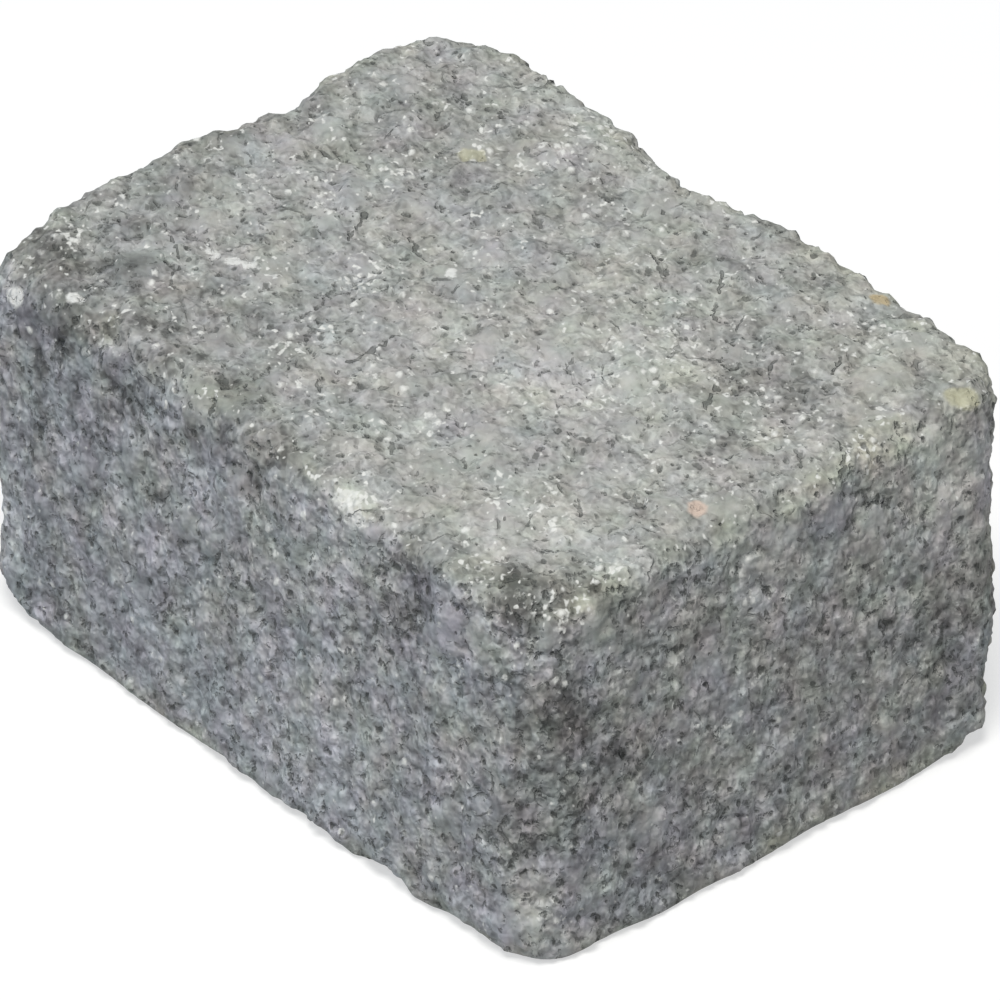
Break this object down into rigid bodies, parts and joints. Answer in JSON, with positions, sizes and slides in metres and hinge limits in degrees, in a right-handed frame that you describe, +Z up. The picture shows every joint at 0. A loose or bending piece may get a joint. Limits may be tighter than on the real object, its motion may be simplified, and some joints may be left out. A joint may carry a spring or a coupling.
{
  "type": "concrete paver",
  "caption": "Rectangular tumbled concrete paver with knocked, rounded edges and a flat bed face.",
  "frame": {"origin": "centre of the bed face, the flat underside that the paver lies on", "axes": "+Z up out of the wearing face, +X along the length, +Y across the width"},
  "size_m": [0.1596, 0.1196, 0.0817],
  "materials": {
    "concrete": "dry, matt, tumbled concrete, light grey with dark pores and pale sand grains"
  },
  "bodies": {
    "root": {"paver": "concrete"}
  },
  "joints": []
}
